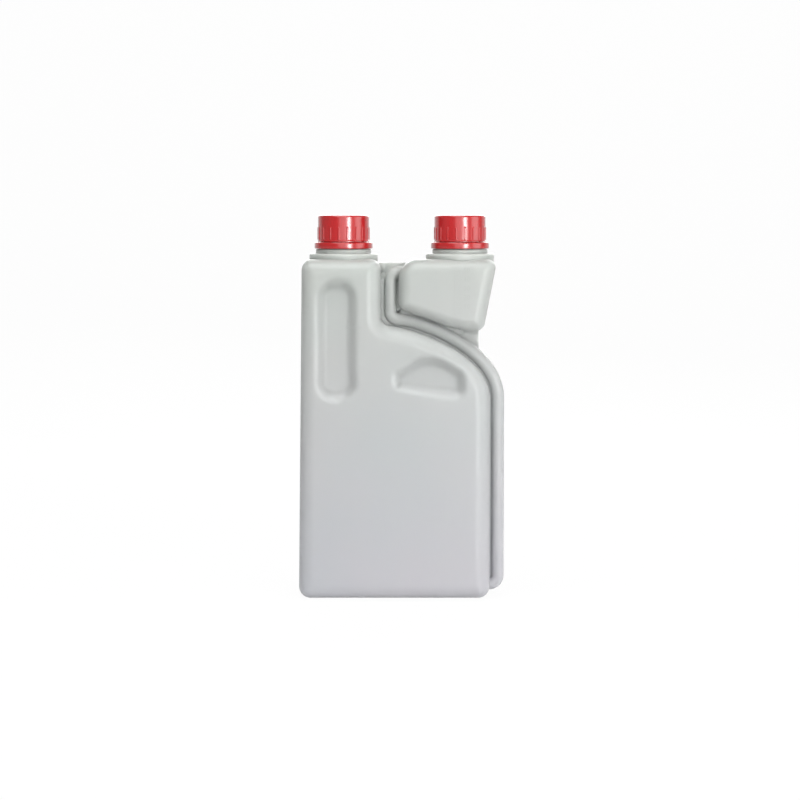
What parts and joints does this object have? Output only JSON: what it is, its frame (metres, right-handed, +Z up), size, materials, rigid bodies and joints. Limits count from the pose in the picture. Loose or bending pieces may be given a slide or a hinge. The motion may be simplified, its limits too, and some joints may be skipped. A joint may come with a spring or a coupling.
{
  "type": "dosing bottle",
  "caption": "Upright twin-neck squeeze bottle of natural plastic: a reservoir feeds a dosing chamber through a side tube; red ribbed screw caps with tamper rings.",
  "frame": {"origin": "middle of the bottle's outline on the surface it stands on", "axes": "+Z up, the front faces -Y, +X to the right of the front: the reservoir's neck on the left, the dosing chamber's on the right"},
  "size_m": [0.1253, 0.058, 0.233],
  "materials": {
    "natural_plastic": "translucent natural blown plastic, satin, with a soft sheen on its rounded edges",
    "cap_plastic": "glossy red moulded plastic",
    "liner_foam": "fine white foamed sheet, matt"
  },
  "bodies": {
    "bottle": {"bottle_body": "natural_plastic", "reservoir_tamper_ring": "cap_plastic", "dosing_tamper_ring": "cap_plastic"},
    "reservoir_seal": {"reservoir_cap_liner": "liner_foam"},
    "reservoir_closure": {"reservoir_cap": "cap_plastic"},
    "dosing_seal": {"dosing_cap_liner": "liner_foam"},
    "dosing_closure": {"dosing_cap": "cap_plastic"}
  },
  "joints": [
    {"name": "reservoir_cap_lift", "type": "slide", "parent": "bottle", "child": "reservoir_seal", "axis": [0, 0, 1], "range_m": [0, 0.0169]},
    {"name": "reservoir_cap_turn", "type": "hinge", "parent": "reservoir_seal", "child": "reservoir_closure", "pos_m": [-0.0355, 0, 0.2169], "axis": [0, 0, 1], "range_deg": [0, 1440]},
    {"name": "dosing_cap_lift", "type": "slide", "parent": "bottle", "child": "dosing_seal", "axis": [0, 0, 1], "range_m": [0, 0.0169]},
    {"name": "dosing_cap_turn", "type": "hinge", "parent": "dosing_seal", "child": "dosing_closure", "pos_m": [0.0358, 0, 0.2169], "axis": [0, 0, 1], "range_deg": [0, 1440]}
  ],
  "couplings": [
    {"joint": "reservoir_cap_turn", "follows": "reservoir_cap_lift", "rad_per_m": 1484.3},
    {"joint": "dosing_cap_turn", "follows": "dosing_cap_lift", "rad_per_m": 1484.3}
  ]
}
